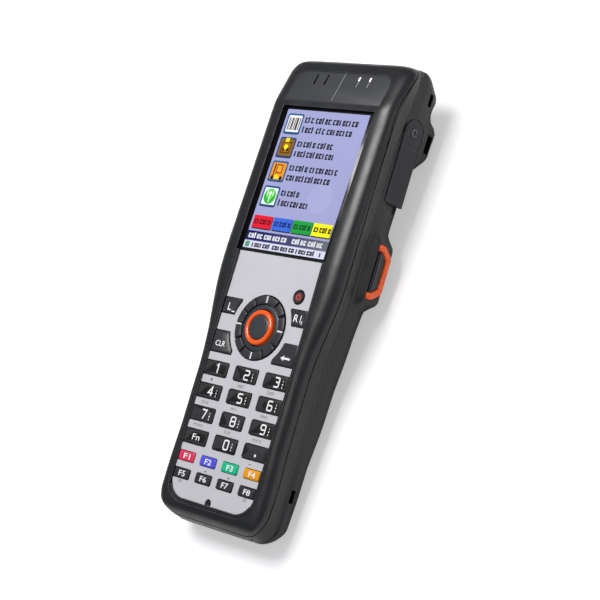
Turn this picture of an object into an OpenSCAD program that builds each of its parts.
// Portable barcode data terminal: a one-piece bar with a screen, a keypad, two side triggers
// and a scanner in the hump behind its top end.
//
// The device frame used below has x to the right, y from the bottom end to the top end and
// z out of the front, with z = 0 on the face of the key sheet. at_rest() then lays the finished
// terminal on its back, on the heel and the hump.

/* [Housing] */
// Length of the housing
body_l = 198; // [190:1:210]
// Width of the head, at the screen
head_w = 65; // [63:0.5:72]
// Width of the grip, at the keys
grip_w = 57.5; // [57:0.5:62]
// Depth of the heel behind the key sheet's face
heel_depth = 22.3; // [21.5:0.1:24]
// Depth of the head just below the hump
head_depth = 27; // [26:0.5:30]
// Depth of the scanner hump
hump_depth = 38.2; // [36:0.2:42]
// Wall thickness of both covers
wall = 2; // [1.6:0.1:2.4]
// Radius of the long front edges
front_round = 3.5; // [2.5:0.1:4.5]
// Radius of the long back edges
back_round = 7.5; // [6:0.1:8.5]
// How much further the sides stand out behind the crease
side_flare = 0.8; // [0.4:0.1:1.2]
// Height of the front rim over the key sheet
rim_h = 0.5; // [0.3:0.1:0.8]
// Height of the shoulder below the screen
shoulder_h = 1.3; // [1:0.1:1.8]
// Diameter of the case screws
screw_d = 2; // [1.6:0.1:2.5]

/* [Display] */
// Width of the lit picture
screen_w = 45.7; // [44:0.1:46.5]
// Height of the lit picture
screen_h = 61; // [58:0.5:61.5]
// Width of the black border beside the picture
border_w = 2.4; // [2:0.1:3]
// Thickness of the display window
window_t = 1; // [0.8:0.1:1.3]
// Depth of the window's face below the rim
window_sink = 1.1; // [0.8:0.1:1.4]

/* [Keypad] */
// Width of the key sheet
sheet_w = 47.2; // [46.8:0.1:47.8]
// Bottom edge of the key sheet
sheet_from = 8.3; // [7.5:0.1:9]
// Thickness of the key sheet
sheet_t = 0.8; // [0.6:0.1:1]
// Distance between key rows
row_pitch = 9.6; // [9.2:0.1:10]
// Width of a digit key
key_w = 12.8; // [11.8:0.1:13]
// Height of a digit key
key_l = 5.9; // [5.2:0.1:6.2]
// Width of a function key
fkey_w = 8.8; // [8:0.1:9.2]
// Height of a function key
fkey_l = 3.9; // [3.4:0.1:4.2]
// How far the keys stand above the sheet
key_rise = 0.9; // [0.6:0.1:1.2]
// Clearance round a key
key_gap = 0.25; // [0.2:0.05:0.35]
// Travel of a key
key_travel = 0.5; // [0.3:0.05:0.55]
// Radius of the round key field
dial_r = 13.7; // [13:0.1:14]
// Radius of the orange ring
centre_ring_r = 7.3; // [7:0.1:7.6]
// Radius of the centre key's cap
centre_key_r = 5.2; // [4.8:0.1:5.6]
// Radius of the power key
power_key_r = 2.9; // [2.5:0.1:3.1]

/* [Triggers] */
// How far the trigger housings stand out from the head
pod_out = 3.2; // [2:0.1:3.6]
// Length of a trigger
trigger_l = 22.4; // [20:0.2:24]
// Width of the orange trim
trim_w = 2.2; // [1.8:0.1:2.6]
// Travel of a trigger
trigger_travel = 0.8; // [0.5:0.1:1]

/* [Battery] */
// Width of the battery pack
battery_w = 41; // [38:0.5:41]
// Length of the battery pack
battery_l = 62; // [56:0.5:64]
// Thickness of the battery pack
battery_t = 10; // [9:0.1:10.2]

/* [Hidden] */
$fn = 48;
slip = 0.3;     // gap that keeps moving pieces apart
seat = 0.1;     // gap of a piece that is fitted or glued in
charcoal = "#2b2c2e";
satin_black = "#161617";
silver = "#cfcfd3";
orange = "#ff5a10";
board_green = "#1f5a3a";
steel = "#b9bcc0";

// ---- lines of the housing ----
head_l = screen_h + 25;         // length of the head
crown_y = body_l - 20;          // where the front starts to fall back above the screen
shoulder_y = body_l - head_l;   // where the head meets the grip on the front
nose_y = body_l - 8;            // lower end of the slanted nose
crown_drop = 1.4;
nose_drop = 6.2;
brow_y = 4.6;                    // where the front edge starts to fall at the bottom end
heel_from = 7;
heel_to = 20;
neck_y = body_l - 53;
hump_from = body_l - 32;
hump_to = body_l - 15.6;
end_front = 7.5;                // depth of the bottom end's front edge
end_back = 13;                  // depth of the bottom end's back edge
tip_front = 11;                 // depth of the top end's front edge
tip_back = 20;                  // depth of the top end's back edge
nose_back = hump_depth - 4.7;   // depth of the nose's lower edge
front_corners = [11.5, 7.5];    // radius of the front's corners at the bottom end and the top end
side_corners = [8, 3.5];        // radius of the sides' corners behind the crease
waist_from = shoulder_y - 50;   // the grip widens to the head between these two
waist_to = shoulder_y - 6;
waist_step = (waist_to - waist_from) / 4;

// the back touches a flat surface along this line, at the heel and at the hump
rest_slope = (hump_depth - heel_depth) / ((hump_from + hump_to) / 2 - (heel_from + heel_to) / 2);
function rest_z(y) = -heel_depth - (y - (heel_from + heel_to) / 2) * rest_slope;

front_line = [[0, -end_front], [1.6, -3.4], [brow_y, rim_h], [waist_from, rim_h],
    [shoulder_y, shoulder_h], [crown_y, -crown_drop], [nose_y, -nose_drop],
    [body_l - 2, -9.5], [body_l, -tip_front]];
back_line = [[0, -end_back], [2.5, -17], [heel_from, rest_z(heel_from)], [heel_to, rest_z(heel_to)],
    [neck_y, -head_depth], [body_l - 40, -head_depth - 2], [hump_from, rest_z(hump_from)],
    [hump_to, rest_z(hump_to)], [hump_to + 2, 5.4 - hump_depth], [nose_y, -nose_back],
    [body_l, -tip_back]];
crease_line = [[0, -11], [heel_to, -11.5], [shoulder_y + 20, -11.5], [hump_from, -12.5],
    [nose_y, -15], [body_l, -15]];
seam_line = [[-2, -5.6], [crown_y - 8, -3.7], [nose_y, -9.6], [body_l + 2, -15.8]];
station_y = [0, 0.7, 1.6, 3, brow_y, 9, 13, heel_to, waist_from, waist_from + waist_step,
    waist_from + 2 * waist_step, waist_from + 3 * waist_step, waist_to, neck_y,
    body_l - 40, hump_from, crown_y, hump_to, hump_to + 2, nose_y, body_l - 5.5, body_l - 3.5,
    body_l - 2, body_l - 0.8, body_l];

function seam_z(y) = lookup(y, seam_line);
function blend(a, b, t) = let (u = max(0, min(1, t))) a + (b - a) * u * u * (3 - 2 * u);
function plain_width(y) = blend(grip_w, head_w, (y - waist_from) / (waist_to - waist_from)) / 2;
// how far a rounded corner of radius r stands back at distance d from the end
function corner_cut(d, r) = d >= r ? 0 : r - sqrt(r * r - (r - d) * (r - d));
// half the width, less the inset, with the corners at the two ends rounded
function half_width(y, inset, corners) = plain_width(y) - inset
    - corner_cut(max(y - inset, 0), corners[0] - inset)
    - corner_cut(max(body_l - inset - y, 0), corners[1] - inset);
function arc(cx, cz, r, a0, a1, n) =
    [for (i = [0:n]) let (a = a0 + (a1 - a0) * i / n) [cx + r * cos(a), cz + r * sin(a)]];

// right half of the section at one station: front edge, side, crease, flare and back edge
function half_ring(wf, w, r_back, zf, zc, zb) =
    let (
        rf = min(front_round, wf * 0.8, (zf - zb) * 0.35),
        rb = min(r_back, w * 0.8, (zf - zb) * 0.34),
        crease = max(min(zc, zf - rf - 0.1), zb + rb + 0.3),
        flare_end = max(crease - 4, zb + rb + 0.15)
    )
    concat(arc(wf - rf, zf - rf, rf, 90, 0, 4), [[w, crease], [w + side_flare, flare_end]],
        arc(w + side_flare - rb, zb + rb, rb, 0, -90, 4));

function ring(y, inset) =
    let (
        right = half_ring(half_width(y, inset, front_corners), half_width(y, inset, side_corners),
            back_round * blend(1, 1.6, (y - body_l + 40) / 14), lookup(y, front_line) - inset,
            lookup(y, crease_line), lookup(y, back_line) + inset),
        n = len(right)
    )
    concat([for (p = right) [p[0], y, p[1]]], [for (i = [n - 1:-1:0]) [-right[i][0], y, right[i][1]]]);

// the housing's form, with its surface moved inwards by inset; each end closes as a fan
module form(inset) {
    rings = [for (y = station_y) ring(inset + (body_l - 2 * inset) * y / body_l, inset)];
    n = len(rings[0]);
    m = len(rings);
    middles = [for (y = [inset, body_l - inset])
        [0, y, (lookup(y, front_line) + lookup(y, back_line)) / 2]];
    side = [for (k = [0:m - 2]) for (i = [0:n - 1]) let (j = (i + 1) % n)
        each [[k * n + i, (k + 1) * n + i, (k + 1) * n + j], [k * n + i, (k + 1) * n + j, k * n + j]]];
    low_end = [for (i = [0:n - 1]) [i, (i + 1) % n, m * n]];
    high_end = [for (i = [0:n - 1]) [(m - 1) * n + (i + 1) % n, (m - 1) * n + i, m * n + 1]];
    polyhedron(concat([for (r = rings) each r], middles), concat(side, low_end, high_end));
}

// ---- frames ----
rest_tilt = atan(rest_slope);
rest_y = (end_front * sin(rest_tilt) + body_l * cos(rest_tilt) + tip_back * sin(rest_tilt)) / 2;
head_tilt = atan((shoulder_h + crown_drop) / (crown_y - shoulder_y));
crown_tilt = atan((nose_drop - crown_drop) / (nose_y - crown_y));
back_tilt = atan((head_depth + rest_z(heel_to)) / (neck_y - heel_to));
nose_lean = atan((body_l - nose_y) / (nose_back - tip_back));

module at_rest() {
    translate([0, -rest_y, -rest_z(0) * cos(rest_tilt)]) rotate([rest_tilt, 0, 0]) children();
}
module on_head() { translate([0, shoulder_y, shoulder_h]) rotate([-head_tilt, 0, 0]) children(); }
module on_crown() { translate([0, crown_y, -crown_drop]) rotate([-crown_tilt, 0, 0]) children(); }
module on_back() { translate([0, heel_to, rest_z(heel_to)]) rotate([-back_tilt, 0, 0]) children(); }
module on_nose() {
    translate([0, (nose_y + body_l) / 2, -(nose_back + tip_back) / 2])
        rotate([-90 - nose_lean, 0, 0]) children();
}
// 2D shapes drawn in y and z, extruded from x0 to x1
module along_x(x0, x1) { translate([x0, 0, 0]) rotate([90, 0, 90]) linear_extrude(x1 - x0) children(); }
module both_sides() { children(); mirror([1, 0, 0]) children(); }
module layer(z0, z1) { translate([0, 0, z0]) linear_extrude(z1 - z0) children(); }

module round_rect(w, l, r) {
    square([w, l - 2 * r], center = true);
    square([w - 2 * r, l], center = true);
    for (x = [-1, 1], y = [-1, 1]) translate([x * (w / 2 - r), y * (l / 2 - r)]) circle(r);
}
// a field from y0 to y1 whose corners are round at the y0 end only
module round_end(w, y0, y1, r) {
    translate([-w / 2, y0 + r]) square([w, y1 - y0 - r]);
    translate([-w / 2 + r, y0]) square([w - 2 * r, r + 0.01]);
    for (x = [-1, 1]) translate([x * (w / 2 - r), y0 + r]) circle(r);
}
module above_seam() {
    along_x(-head_w, head_w) polygon(concat([[-2, 20]], seam_line, [[body_l + 2, 20]]));
}

// ---- keypad ----
sheet_to = shoulder_y - 0.1;
drawn_l = 103.6;                // sheet length that the distances along the keypad are for
stretch = (sheet_to - sheet_from) / drawn_l;
key_margin = 0.2;               // from the outer digit keys to the sheet's edge
fkey_margin = 0.45;
column_pitch = (sheet_w - key_w) / 2 - key_margin;
fkey_pitch = (sheet_w - fkey_w) / 3 - fkey_margin * 2 / 3;
row_step = row_pitch * stretch;
top_row_y = sheet_from + 53.8 * stretch;
fkey_top_y = top_row_y - 3 * row_step - 8.4 * stretch;
fkey_low_y = fkey_top_y - 7.1 * stretch;
dial_y = sheet_from + 73.6 * stretch;
field_r = dial_r * stretch;             // the round key field, its orange ring and centre key
orange_r = centre_ring_r * stretch;
cap_r = centre_key_r * stretch;
ring_bore = orange_r + 0.4;
foot_at = (field_r + ring_bore) / 2 + slip;     // radius at which the cursor ring's feet press
power_x = sheet_w / 2 - 7.8;
power_y = sheet_from + 88.6 * stretch;
sheet_corner = 9;
flange_w = 0.7;                 // how far a key's flange reaches under the sheet
flange_t = 0.7;
flange_top = -sheet_t - slip;
mat_top = -2.8;
board_top = -4.4;
key_board_t = 1;
dome_h = 0.35;
dome_r = 2.4;
pad_from = fkey_low_y - 3.8;    // the open field under the keys
pad_to = power_y + 4.6;
plunger_r = 1.1;
plunger_end = board_top + dome_h + slip + key_travel;
side_key_out = sheet_w / 2 - key_margin;
// inner edge, bottom, top and radius round the key field
upper_key = [field_r + 0.3, dial_y + 3.3 * stretch, dial_y + 9.9 * stretch, field_r + 2.9];
lower_key = [field_r - 2.1, dial_y - 13.1 * stretch, dial_y - 4.1 * stretch, field_r + 2.5];

function digit_x(i) = (i % 3 - 1) * column_pitch;
function digit_y(i) = top_row_y - floor(i / 3) * row_step;
function fkey_x(i) = (i % 4 - 1.5) * fkey_pitch;
function fkey_y(i) = i < 4 ? fkey_top_y : fkey_low_y;

module digit_2d(i, grow) {
    translate([digit_x(i), digit_y(i)]) round_rect(key_w + 2 * grow, key_l + 2 * grow, 0.8);
}
module fkey_2d(i, grow) {
    translate([fkey_x(i), fkey_y(i)]) round_rect(fkey_w + 2 * grow, fkey_l + 2 * grow, 0.7);
}
// a right-hand key beside the round key field
module side_key_2d(k, grow) {
    difference() {
        translate([k[0] - grow, k[1] - grow])
            square([side_key_out - k[0] + 2 * grow, k[2] - k[1] + 2 * grow]);
        translate([0, dial_y]) circle(k[3] - grow);
    }
}
module side_flange_2d(k) {
    difference() {
        translate([k[0], k[1] - flange_w]) square([side_key_out - k[0], k[2] - k[1] + 2 * flange_w]);
        translate([0, dial_y]) circle(k[3] - flange_w);
    }
}
function side_key_centre(k) = [side_key_out - 4, (k[1] + k[2]) / 2];

// cap, flange and plunger of a key: the first child is the cap's outline, the second its
// top face and the third its flange
module key_shape(at, rise) {
    layer(flange_top, rise - 0.3) children(0);
    layer(rise - 0.3, rise) children(1);
    layer(flange_top - flange_t, flange_top) children(2);
    translate([at[0], at[1], plunger_end]) cylinder(r = plunger_r, h = flange_top - plunger_end);
}
module digit_key(i) {
    at_rest() key_shape([digit_x(i), digit_y(i)], key_rise) {
        digit_2d(i, 0);
        digit_2d(i, -0.25);
        translate([digit_x(i), digit_y(i)]) square([key_w, key_l + 2 * flange_w], center = true);
    }
}
module function_key(i) {
    at_rest() key_shape([fkey_x(i), fkey_y(i)], key_rise - 0.2) {
        fkey_2d(i, 0);
        fkey_2d(i, -0.2);
        translate([fkey_x(i), fkey_y(i)]) square([fkey_w, fkey_l + 2 * flange_w], center = true);
    }
}
module side_key(k) {
    key_shape(side_key_centre(k), key_rise - 0.1) {
        side_key_2d(k, 0);
        side_key_2d(k, -0.25);
        side_flange_2d(k);
    }
}

module key_1() { color(satin_black) digit_key(0); }
module key_2() { color(satin_black) digit_key(1); }
module key_3() { color(satin_black) digit_key(2); }
module key_4() { color(satin_black) digit_key(3); }
module key_5() { color(satin_black) digit_key(4); }
module key_6() { color(satin_black) digit_key(5); }
module key_7() { color(satin_black) digit_key(6); }
module key_8() { color(satin_black) digit_key(7); }
module key_9() { color(satin_black) digit_key(8); }
module key_fn() { color(satin_black) digit_key(9); }
module key_0() { color(satin_black) digit_key(10); }
module key_point() { color(satin_black) digit_key(11); }
module key_f1() { color("#e8345c") function_key(0); }
module key_f2() { color("#4a4ad0") function_key(1); }
module key_f3() { color("#1fb07c") function_key(2); }
module key_f4() { color("#f0a818") function_key(3); }
module key_f5() { color(satin_black) function_key(4); }
module key_f6() { color(satin_black) function_key(5); }
module key_f7() { color(satin_black) function_key(6); }
module key_f8() { color(satin_black) function_key(7); }
module key_right() { color(satin_black) at_rest() side_key(upper_key); }
module key_left() { color(satin_black) at_rest() mirror([1, 0, 0]) side_key(upper_key); }
module key_enter() { color(satin_black) at_rest() side_key(lower_key); }
module key_clear() { color(satin_black) at_rest() mirror([1, 0, 0]) side_key(lower_key); }

module power_key() {
    color(satin_black) at_rest() key_shape([power_x, power_y], 0.5) {
        translate([power_x, power_y]) circle(power_key_r);
        translate([power_x, power_y]) circle(power_key_r - 0.2);
        translate([power_x, power_y]) circle(power_key_r + flange_w);
    }
}

// every opening of the key sheet; the outer ones run out of its edge
module key_openings_2d() {
    for (i = [0:11]) digit_2d(i, key_gap);
    for (i = [0:7]) fkey_2d(i, key_gap);
    for (s = [-1, 1]) {
        for (r = [0:3]) translate([s * sheet_w / 2, digit_y(3 * r)])
            square([3, key_l + 2 * key_gap], center = true);
        for (y = [fkey_top_y, fkey_low_y]) translate([s * sheet_w / 2, y])
            square([3, fkey_l + 2 * key_gap], center = true);
    }
    for (k = [upper_key, lower_key]) both_sides() {
        side_key_2d(k, key_gap);
        translate([side_key_out, k[1] - key_gap]) square([2, k[2] - k[1] + 2 * key_gap]);
    }
    translate([0, dial_y]) circle(field_r);
    translate([power_x, power_y]) circle(power_key_r + key_gap);
}
module key_sheet() {
    color(silver) at_rest() layer(-sheet_t, 0) difference() {
        round_end(sheet_w, sheet_from, sheet_to, sheet_corner);
        key_openings_2d();
        translate([0, sheet_from + 0.9]) circle(1.8);
    }
}

// the points where a plunger meets a snap dome
ring_points = [for (a = [0:90:270]) [foot_at * cos(a), dial_y + foot_at * sin(a)]];
upper_at = side_key_centre(upper_key);
lower_at = side_key_centre(lower_key);
key_points = concat([for (i = [0:11]) [digit_x(i), digit_y(i)]], [for (i = [0:7]) [fkey_x(i), fkey_y(i)]],
    [for (s = [-1, 1], p = [upper_at, lower_at]) [s * p[0], p[1]]], [[power_x, power_y]]);

module keypad_mat() {
    color("#3a3b3e") at_rest() difference() {
        layer(board_top, mat_top) translate([0, (pad_from + pad_to) / 2])
            square([sheet_w - 0.6, pad_to - pad_from - 0.6], center = true);
        for (p = key_points) translate([p[0], p[1], board_top - 1]) {
            cylinder(r = dome_r + 0.2, h = 1 + dome_h + 0.2);
            cylinder(r = plunger_r + 0.4, h = 4);
        }
        translate([0, dial_y, board_top - 1]) cylinder(r = field_r + 1.3, h = 4);
    }
}
module snap_domes() {
    color(steel) at_rest() for (p = concat(key_points, ring_points, [[0, dial_y]]))
        translate([p[0], p[1], board_top]) {
            cylinder(r = dome_r, h = 0.1);
            translate([0, 0, 0.1]) cylinder(r1 = dome_r - 0.2, r2 = 1.2, h = dome_h - 0.1);
        }
}
key_board_w = grip_w - 8.3;
key_board_from = pad_from - 1.5;
key_board_to = pad_to - 0.3;
module key_board() {
    color(board_green) at_rest() layer(board_top - key_board_t, board_top)
        translate([0, (key_board_from + key_board_to) / 2])
        round_rect(key_board_w, key_board_to - key_board_from, 2);
}

// ---- round key field ----
rock = 1.2;                     // how far the cursor ring rocks, in degrees
ring_r = field_r - slip;
ring_foot = -2;
pivot_r = ring_bore + 1.3;
ring_travel = foot_at * sin(rock);
centre_travel = 0.6;
module cursor_ring() {
    color("#3c3d40") at_rest() translate([0, dial_y, 0]) {
        difference() {
            union() {
                translate([0, 0, ring_foot]) cylinder(r = ring_r, h = 0.3 - ring_foot);
                translate([0, 0, 0.3]) cylinder(r1 = ring_r, r2 = ring_r - 0.5, h = 0.4);
                translate([0, 0, ring_foot]) cylinder(r = field_r + 0.7, h = 0.5);
            }
            translate([0, 0, ring_foot - 1]) cylinder(r = ring_bore, h = 4);
            for (a = [45:90:315]) rotate(a) translate([ring_r - 2.6, 0, 0.4])
                cube([4, 0.5, 2], center = true);
        }
        for (a = [0:90:270]) rotate(a) translate([foot_at, 0, board_top + dome_h + slip + ring_travel])
            cylinder(r = 0.8, h = ring_foot - board_top - dome_h - slip - ring_travel);
    }
}
module cursor_pivot() {
    color("#232426") at_rest() translate([0, dial_y, ring_foot - 0.4 - 0.6]) difference() {
        cylinder(r = pivot_r, h = 0.6);
        translate([0, 0, -1]) cylinder(r = pivot_r - 1, h = 3);
    }
}
centre_flange_top = -1;
module centre_key() {
    color("#26272a") at_rest() translate([0, dial_y, 0]) {
        translate([0, 0, centre_flange_top]) cylinder(r = cap_r, h = 1.9);
        translate([0, 0, 0.9]) cylinder(r1 = cap_r, r2 = cap_r - 0.5, h = 0.4);
        translate([0, 0, centre_flange_top - 0.8]) cylinder(r = orange_r - seat, h = 0.8);
        translate([0, 0, board_top + dome_h + slip + centre_travel])
            cylinder(r = 1.2, h = centre_flange_top - 0.8 - board_top - dome_h - slip - centre_travel);
    }
}
module centre_ring() {
    color(orange) at_rest() translate([0, dial_y, centre_flange_top]) difference() {
        union() {
            cylinder(r = orange_r, h = 2);
            translate([0, 0, 2]) cylinder(r1 = orange_r, r2 = orange_r - 0.6, h = 0.5);
        }
        translate([0, 0, -1]) cylinder(r = cap_r + seat, h = 4);
    }
}

// ---- display ----
window_w = screen_w + 2 * border_w;
window_l = screen_h + 2.4;
recess_gap = 0.15;
screen_mid = 1.4 + screen_h / 2;        // centre of the picture, from the shoulder
window_back = -window_sink - window_t;
ledge_t = 0.8;
module window_field_2d(grow) {
    translate([0, screen_mid]) square([window_w + 2 * grow, window_l + 2 * grow], center = true);
}
module screen_field_2d(grow) {
    translate([0, screen_mid]) square([screen_w + 2 * grow, screen_h + 2 * grow], center = true);
}
module display_window() {
    color("#1a1b26") at_rest() on_head() layer(window_back, -window_sink) window_field_2d(0);
}
module display_module() {
    color("#b9bbe4") at_rest() on_head() {
        layer(window_back - ledge_t, window_back - seat) screen_field_2d(0.1);
        layer(window_back - ledge_t - 2.5, window_back - ledge_t - seat) screen_field_2d(2.3);
    }
}

// ---- panel above the screen ----
panel_t = 0.8;
panel_w = head_w - 12;
panel_from = 0.3;
panel_to = 12.4;
slit_x = [9.2, 15];
slit_w = 0.9;
slit_from = 6.4;
slit_to = 11.2;
module panel_2d(grow) {
    mirror([0, 1]) round_end(panel_w + 2 * grow, -panel_to - grow, -panel_from + grow, 6);
}
module slits_2d(side, grow) {
    for (x = slit_x) translate([side * x, (slit_from + slit_to) / 2])
        round_rect(slit_w + 2 * grow, slit_to - slit_from + 2 * grow, slit_w / 2 + grow - 0.01);
}
module top_panel() {
    color("#232425") at_rest() on_crown() difference() {
        layer(-panel_t - seat, -seat) panel_2d(0);
        layer(-2, 1) {
            slits_2d(-1, 0);
            slits_2d(1, 0);
        }
        layer(-seat - 0.3, 1) translate([-0.25, 1.2]) square([0.5, panel_to - 2]);
    }
}
module light_guides() {
    color("#e9e9e4") at_rest() on_crown() layer(-4, -seat - 0.05) slits_2d(1, -0.05);
}
module speaker() {
    color("#303133") at_rest() on_crown() translate([-(slit_x[0] + slit_x[1]) / 2, 7.6, -wall - slip]) {
        translate([0, 0, -3]) cylinder(r = 5.6, h = 2.4);
        translate([0, 0, -0.6]) cylinder(r = 5, h = 0.6);
    }
}

// ---- screws that join the covers ----
heel_screw = [grip_w / 2 - 11.75, 9.6];
waist_screw = [head_w / 2 - 6.4, shoulder_y - 8];
hump_screw = [slit_x[1] + 7, body_l - 18.2];
screw_points = [heel_screw, waist_screw, hump_screw];
post_r = screw_d / 2 + 1.7;
head_r = screw_d / 2 + 1.1;
head_t = 1.6;
head_sink = 3.4;                // depth of a screw head below the back
bite = 2.2;                     // length of thread in the front cover
function back_z(p) = lookup(p[1], back_line);
function joint_z(p) = seam_z(p[1] - post_r) - 0.3;
function post_top(p) = min([for (s = [-1, 1]) lookup(p[1] + s * post_r, front_line)]) - wall / 2;
module front_posts() {
    for (p = screw_points) both_sides() translate([p[0], p[1], joint_z(p)])
        cylinder(r = post_r, h = post_top(p) - joint_z(p));
}
module front_pilots() {
    for (p = screw_points) both_sides() translate([p[0], p[1], joint_z(p) - 1])
        cylinder(r = screw_d / 2 + 0.02, h = bite + 1.4);
}
module rear_posts() {
    for (p = screw_points) both_sides() translate([p[0], p[1], back_z(p) + wall / 2])
        cylinder(r = post_r, h = joint_z(p) - back_z(p) - wall / 2);
}
module rear_bores() {
    for (p = screw_points) both_sides() {
        translate([p[0], p[1], back_z(p) + 1]) cylinder(r = screw_d / 2 + 0.15, h = 60);
        translate([p[0], p[1], back_z(p) - 5]) cylinder(r = head_r + 0.2, h = 5 + head_sink);
    }
}
module case_screws() {
    color(steel) at_rest() for (p = screw_points) both_sides()
        translate([p[0], p[1], back_z(p) + head_sink]) difference() {
            union() {
                translate([0, 0, -head_t]) cylinder(r = head_r, h = head_t);
                cylinder(r = screw_d / 2, h = joint_z(p) + bite - back_z(p) - head_sink);
            }
            translate([0, 0, -head_t + 0.3]) cube([2.2, 0.5, 0.8], center = true);
            translate([0, 0, -head_t + 0.3]) cube([0.5, 2.2, 0.8], center = true);
        }
}

// ---- side triggers ----
trigger_y = shoulder_y + 3;
trigger_z = -19.7;
trigger_half = trigger_l / 2;
trigger_front = 3.6;
trigger_back = 4.7;
pod_x = head_w / 2 + pod_out;
pocket_x = pod_x - 6;
floor_t = 1;
stem_r = 1.3;
button_x = pod_x - 0.3;
pod_flat = trigger_half + 1.5;          // half length of the flat part of a trigger's housing
pod_low = trigger_half + 7.8;           // from a trigger's middle to its housing's lower end
pod_high = trigger_half + 11.8;
pod_back = trigger_z - 6.8;
trim_x = pod_x + 0.4;
base_x = pocket_x + slip + trigger_travel;
base_t = 1.6;
function trigger_outline(g) = [[-trigger_half - g, trigger_front + g], [-trigger_half - g, 1],
    [-trigger_half + 4 - g * 0.6, -trigger_back - g], [trigger_half - 4 + g * 0.6, -trigger_back - g],
    [trigger_half + g, 1], [trigger_half + g, trigger_front + g]];
module at_trigger_2d() { translate([trigger_y, trigger_z]) children(); }
module trigger_pod() {
    intersection() {
        along_x(pocket_x - floor_t, pod_x) polygon([[trigger_y - pod_low, trigger_z + 7],
            [trigger_y - pod_low, trigger_z - 3], [trigger_y - pod_flat, pod_back],
            [trigger_y + trigger_half - 2, pod_back], [trigger_y + pod_high, trigger_z - 3],
            [trigger_y + pod_high, trigger_z + 7]]);
        layer(-40, 0) polygon([[20, trigger_y - pod_low], [head_w / 2 - 1.5, trigger_y - pod_low],
            [pod_x, trigger_y - pod_flat], [pod_x, trigger_y + pod_flat],
            [head_w / 2, trigger_y + pod_high + 1], [20, trigger_y + pod_high + 1]]);
        translate([0, body_l, 0]) rotate([90, 0, 0]) linear_extrude(body_l)
            polygon([[20, trigger_z + 7.5], [head_w / 2 - 0.3, trigger_z + 7.5],
                [pod_x, trigger_z + 4], [pod_x, trigger_z - 4.8], [pod_x - 3, pod_back], [20, pod_back]]);
    }
}
module trigger_pocket() {
    along_x(pocket_x, pod_x + 5) at_trigger_2d() polygon(trigger_outline(slip));
    translate([pocket_x - 5, trigger_y, trigger_z]) rotate([0, 90, 0]) cylinder(r = stem_r + slip, h = 7);
}
module trigger() {
    along_x(base_x, base_x + base_t) at_trigger_2d() polygon(trigger_outline(0));
    along_x(base_x + base_t, button_x) at_trigger_2d() intersection() {
        polygon(trigger_outline(-trim_w - seat));
        translate([-30, -30]) square([60, 30 + trigger_front - trim_w]);
    }
    along_x(base_x + base_t, button_x - 0.6) at_trigger_2d()
        translate([-trigger_half + trim_w + seat, 0])
        square([trigger_l - 2 * trim_w - 2 * seat, trigger_front - 1.2]);
    translate([pocket_x - floor_t + slip, trigger_y, trigger_z]) rotate([0, 90, 0])
        cylinder(r = stem_r, h = base_x - pocket_x + floor_t - slip);
}
module trigger_trim() {
    along_x(base_x + base_t, trim_x) at_trigger_2d() difference() {
        polygon(trigger_outline(0));
        polygon(trigger_outline(-trim_w));
        translate([-trigger_half + trim_w, 0]) square([trigger_l - 2 * trim_w, trigger_front + 1]);
    }
}
module trigger_switch() {
    difference() {
        translate([pocket_x - floor_t - 2, trigger_y - 3, trigger_z - 1.9]) cube([2, 6, 4.9]);
        translate([pocket_x - floor_t - 1.2, trigger_y, trigger_z]) rotate([0, 90, 0])
            cylinder(r = stem_r + slip, h = 3);
    }
}
module trigger_right() { color("#3a3c40") at_rest() trigger(); }
module trigger_left() { color("#3a3c40") at_rest() mirror([1, 0, 0]) trigger(); }
module trigger_trim_right() { color(orange) at_rest() trigger_trim(); }
module trigger_trim_left() { color(orange) at_rest() mirror([1, 0, 0]) trigger_trim(); }
module trigger_switches() { color("#4b4c4f") at_rest() both_sides() trigger_switch(); }

// ---- flap over the socket ----
jack_w = 9.4;
jack_z = -17.6;
jack_from = body_l - 54.8;
jack_screw_y = body_l - 24.6;
jack_fold_y = jack_screw_y - 6.5;
jack_face = head_w / 2 + side_flare - 0.05;
jack_t = 1.5;
jack_floor = jack_face - jack_t - seat;
socket_from = jack_from + 5;
socket_l = 15;
socket_w = 7.4;
connector_in = 6;
plug_gap = 0.6;
module at_jack_screw(x) { translate([x, jack_screw_y, jack_z]) rotate([0, 90, 0]) children(); }
module jack_outline_2d(grow) {
    translate([jack_from - grow, jack_z - jack_w / 2 - grow])
        square([jack_screw_y - jack_from + grow, jack_w + 2 * grow]);
    translate([jack_screw_y, jack_z]) circle(jack_w / 2 + grow);
}
module jack_plate(y0, y1) {
    intersection() {
        along_x(jack_floor + seat, jack_face) jack_outline_2d(0);
        translate([0, y0, -40]) cube([60, y1 - y0, 40]);
    }
}
module jack_cover() {
    color("#303134") at_rest() {
        jack_plate(jack_from, jack_fold_y - 0.2);
        along_x(jack_floor - 1.2, jack_floor + 2 * seat)
            translate([socket_from + plug_gap, jack_z - socket_w / 2 + plug_gap])
            square([socket_l - 2 * plug_gap, socket_w - 2 * plug_gap]);
    }
}
module jack_cover_tab() {
    color("#303134") at_rest() difference() {
        jack_plate(jack_fold_y + 0.2, jack_screw_y + jack_w);
        at_jack_screw(jack_floor - 1) cylinder(d = screw_d + 0.4, h = 6);
        at_jack_screw(jack_face - 0.6) cylinder(r = head_r + 0.2, h = 6);
    }
}
module jack_cover_screw() {
    color(steel) at_rest() at_jack_screw(jack_face - 0.6) difference() {
        union() {
            cylinder(r = head_r, h = 0.9);
            translate([0, 0, -4.4]) cylinder(d = screw_d, h = 4.4);
        }
        translate([0, 0, 0.8]) cube([2.4, 0.5, 0.8], center = true);
        translate([0, 0, 0.8]) cube([0.5, 2.4, 0.8], center = true);
    }
}
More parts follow.
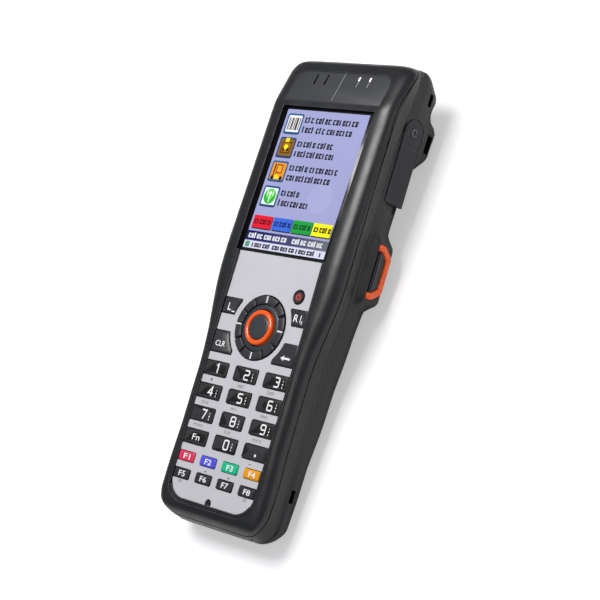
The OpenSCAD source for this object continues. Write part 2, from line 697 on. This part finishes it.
module io_connector() {
    color("#8e9094") at_rest() difference() {
        along_x(jack_floor - connector_in, jack_floor - 1.6) translate([socket_from, jack_z - socket_w / 2])
            translate([seat, seat]) square([socket_l - 2 * seat, socket_w - 2 * seat]);
        along_x(jack_floor - connector_in + 1, jack_floor) {
            translate([socket_from + 5.6, jack_z]) square([8.4, 2.8], center = true);
            translate([socket_from + socket_l - 2.9, jack_z]) circle(d = 3.4);
        }
    }
}
module jack_backing() {
    translate([jack_floor - 3.4, jack_from - 4, jack_z - jack_w / 2 - 1.2])
        cube([4, jack_screw_y + jack_w / 2 - jack_from + 5, jack_w + 2.4]);
    at_jack_screw(jack_floor - 6) cylinder(r = post_r, h = 4);
}
module jack_recess() {
    along_x(jack_floor, jack_floor + 6) jack_outline_2d(slip - seat);
    along_x(jack_floor - 0.4, jack_floor + 6) translate([jack_from - 3, jack_z - 1.2]) square([3.2, 5.4]);
    along_x(jack_floor - connector_in - 2, jack_floor + 1) translate([socket_from, jack_z - socket_w / 2])
        square([socket_l, socket_w]);
    at_jack_screw(jack_floor - 5) cylinder(d = screw_d + 0.04, h = 8);
}

// ---- battery, in the frame of the back ----
cover_from = 4;
cover_w = battery_w + 2.4;
cover_to = cover_from + battery_l + 12;
cover_t = 1.2;
cover_step = 1;
battery_from = cover_from + 8.5;
battery_z = wall + slip;
bay_wall = 1;
bay_top = battery_z + battery_t + slip;
lock_y = cover_from + 4.5;
lock_travel = 4;
module cover_2d(grow) {
    translate([0, (cover_from + cover_to) / 2])
        round_rect(cover_w + 2 * grow, cover_to - cover_from + 2 * grow, 2);
}
module battery_2d(grow) {
    translate([-battery_w / 2 - grow, battery_from - grow])
        square([battery_w + 2 * grow, battery_l + 2 * grow]);
}
module battery_cover() {
    color(charcoal) at_rest() on_back() difference() {
        union() {
            layer(0, cover_t) cover_2d(0);
            layer(cover_t, wall) cover_2d(-cover_step);
        }
        translate([0, lock_y, 0]) layer(-1, 1) round_rect(10 + lock_travel + 2 * slip, 5 + 2 * slip, 1);
        translate([0, lock_y, 0]) layer(-1, 5) round_rect(3 + lock_travel + 2 * slip, 2 + 2 * slip, 0.5);
    }
}
module cover_lock() {
    color("#5a5b5e") at_rest() on_back() translate([-lock_travel / 2, lock_y, 0]) difference() {
        union() {
            layer(0.1, 0.85) round_rect(10, 5, 1);
            layer(0.85, wall + 0.2) round_rect(3, 2, 0.5);
            layer(wall + 0.2, wall + 0.9) round_rect(8, 4, 0.5);
        }
        for (x = [-3:1.5:3]) translate([x, 0, 0]) cube([0.6, 3.4, 0.7], center = true);
    }
}
module battery_pack() {
    color("#3d4a57") at_rest() on_back() layer(battery_z, battery_z + battery_t) battery_2d(0);
}
contact_x = [-9, -3, 3, 9];
module battery_contacts() {
    color("#c9a54a") at_rest() on_back() for (x = contact_x)
        translate([x, battery_from + battery_l + slip - 0.1, battery_z + 3]) cube([1.6, bay_wall + 0.8, 4]);
}
module battery_bay() {
    on_back() difference() {
        layer(wall / 2, bay_top + bay_wall) battery_2d(slip + bay_wall);
        layer(-1, bay_top) battery_2d(slip);
        for (x = contact_x) translate([x - seat, battery_from + battery_l - 1, battery_z + 3 - seat])
            cube([1.6 + 2 * seat, 5, 4 + 2 * seat]);
    }
}
module battery_opening() {
    on_back() {
        layer(-2, cover_t + seat) cover_2d(slip);
        layer(0, wall + 0.2) cover_2d(slip - cover_step);
        layer(0, bay_top) battery_2d(slip);
    }
}

// ---- boards and modules ----
board_w = 46;
board_from = -3;
board_to = hump_from - heel_to;
main_board_t = 1;
board_z = bay_top + bay_wall;
module main_board() {
    color(board_green) at_rest() on_back() layer(board_z, board_z + main_board_t)
        translate([0, (board_from + board_to) / 2]) round_rect(board_w, board_to - board_from, 2);
}
cans = [[-19, 58, 24, 20], [8, 62, 12, 26], [-19, 32, 38, 18]];
module shield_cans() {
    color(steel) at_rest() on_back() translate([0, 0, board_z + main_board_t]) {
        for (c = cans) layer(0, 1.6) translate([c[0], board_to - c[1]]) square([c[2], c[3]]);
    }
}
scan_w = 24;
scan_l = 13;
scan_in = 18;
module scanner_module() {
    color("#4a4b4f") at_rest() on_nose() {
        difference() {
            layer(-3.4 - scan_in, -3.4) round_rect(scan_w, scan_l, 1);
            translate([-5.5, 0, -5]) cylinder(r = 4, h = 4);
            translate([6, 0, -4.4]) cylinder(r = 2.6, h = 4);
        }
        translate([-5.5, 0, -5.4]) cylinder(r = 3.2, h = 1.6);
    }
}
scan_window_w = 27;
scan_window_l = 12;
module scanner_window() {
    color("#301014") at_rest() on_nose() layer(-1.3, -0.3) round_rect(scan_window_w, scan_window_l, 1.5);
}
module nose_frame() { on_nose() layer(-3.2, -0.4) round_rect(scan_window_w + 4, scan_window_l + 3, 2); }
module nose_opening() {
    on_nose() {
        layer(-1.3, 6) round_rect(scan_window_w + 2 * seat, scan_window_l + 2 * seat, 1.5);
        layer(-6, 0) round_rect(scan_window_w - 3, scan_window_l - 3, 1);
    }
}
// a rib under the scanner module, from the hump's back up to the module's slanted underside
module scanner_seat() {
    intersection() {
        along_x(-10, 10) polygon([[hump_from + 4, rest_z(hump_from + 4) + wall / 2],
            [hump_to - 3, rest_z(hump_to - 3) + wall / 2], [hump_to - 3, 0], [hump_from + 4, 0]]);
        on_nose() translate([-30, scan_l / 2, -60]) cube([60, 60, 100]);
    }
}

// ---- strap eyes: a way in at the side and out at the back ----
eye_l = 5.6;
eye_w = 2.4;
eye_low = [21, -14.2];
eye_high = [body_l - 26.5, -29.6];
module strap_eye_block(p, x) {
    translate([x - 9, p[0] - eye_l / 2 - 1.5, lookup(p[0], back_line) + wall / 2])
        cube([8, eye_l + 3, p[1] + eye_w / 2 + 1.5 - lookup(p[0], back_line) - wall / 2]);
}
module strap_eye_cut(p, x) {
    translate([x - 7, p[0] - eye_l / 2, p[1] - eye_w / 2]) cube([12, eye_l, eye_w]);
    translate([x - 7, p[0] - eye_l / 2, p[1] - 30]) cube([eye_w, eye_l, 30 + eye_w / 2]);
}
function side_x(y) = half_width(y, 0, side_corners) + side_flare;

// ---- covers ----
module rear_case() {
    color(charcoal) at_rest() difference() {
        union() {
            intersection() {
                form(0);
                union() {
                    difference() {
                        translate([-head_w, -1, -60]) cube([2 * head_w, body_l + 2, 60]);
                        form(wall);
                        above_seam();
                    }
                    rear_posts();
                    battery_bay();
                    nose_frame();
                    scanner_seat();
                    jack_backing();
                    both_sides() {
                        strap_eye_block(eye_low, side_x(eye_low[0]));
                        strap_eye_block(eye_high, side_x(eye_high[0]));
                    }
                }
            }
            both_sides() trigger_pod();
        }
        rear_bores();
        battery_opening();
        nose_opening();
        jack_recess();
        both_sides() {
            trigger_pocket();
            strap_eye_cut(eye_low, side_x(eye_low[0]));
            strap_eye_cut(eye_high, side_x(eye_high[0]));
        }
    }
}
module key_skirt() {
    layer(board_top, rim_h - wall / 2) translate([0, (pad_from + pad_to) / 2])
        square([sheet_w + 2, pad_to - pad_from + 2], center = true);
    layer(-sheet_t - 1.2, -sheet_t) round_end(sheet_w + 1, sheet_from - 0.5, sheet_to - 2, sheet_corner);
}
module front_cover() {
    color(charcoal) at_rest() difference() {
        union() {
            intersection() {
                difference() {
                    form(0);
                    form(wall);
                }
                above_seam();
            }
            front_posts();
            key_skirt();
            on_head() layer(window_back - ledge_t, -wall / 2) window_field_2d(1.2);
        }
        layer(-20, 10) translate([0, (pad_from + pad_to) / 2])
            square([sheet_w + 2 * seat, pad_to - pad_from], center = true);
        layer(-sheet_t, 10) round_end(sheet_w + 2 * seat, sheet_from - seat, shoulder_y + 1, sheet_corner);
        on_head() {
            layer(window_back, 10) window_field_2d(recess_gap);
            layer(-20, 0) screen_field_2d(0.25);
        }
        on_crown() {
            layer(-panel_t - seat, 6) panel_2d(seat);
            layer(-8, 0) slits_2d(-1, 0);
            layer(-8, 0) slits_2d(1, 0);
        }
        translate([0, sheet_from + 0.8, -5]) cylinder(r = 0.5, h = 10);
        front_pilots();
    }
}
gasket_h = 1.5;
module case_gasket() {
    color("#111112") at_rest() intersection() {
        difference() {
            form(wall + 0.05);
            form(wall + 0.55);
        }
        along_x(-head_w, head_w) polygon(concat([for (p = seam_line) [p[0], p[1] - gasket_h]],
            [for (i = [len(seam_line) - 1:-1:0]) [seam_line[i][0], seam_line[i][1] - 0.2]]));
    }
}

rear_case();
front_cover();
case_gasket();
top_panel();
light_guides();
display_window();
display_module();
key_sheet();
keypad_mat();
snap_domes();
key_board();
main_board();
shield_cans();
scanner_module();
scanner_window();
speaker();
io_connector();
jack_cover();
jack_cover_tab();
jack_cover_screw();
case_screws();
battery_pack();
battery_contacts();
battery_cover();
cover_lock();
trigger_right();
trigger_left();
trigger_trim_right();
trigger_trim_left();
trigger_switches();
power_key();
cursor_pivot();
cursor_ring();
centre_key();
centre_ring();
key_1();
key_2();
key_3();
key_4();
key_5();
key_6();
key_7();
key_8();
key_9();
key_fn();
key_0();
key_point();
key_f1();
key_f2();
key_f3();
key_f4();
key_f5();
key_f6();
key_f7();
key_f8();
key_left();
key_right();
key_clear();
key_enter();
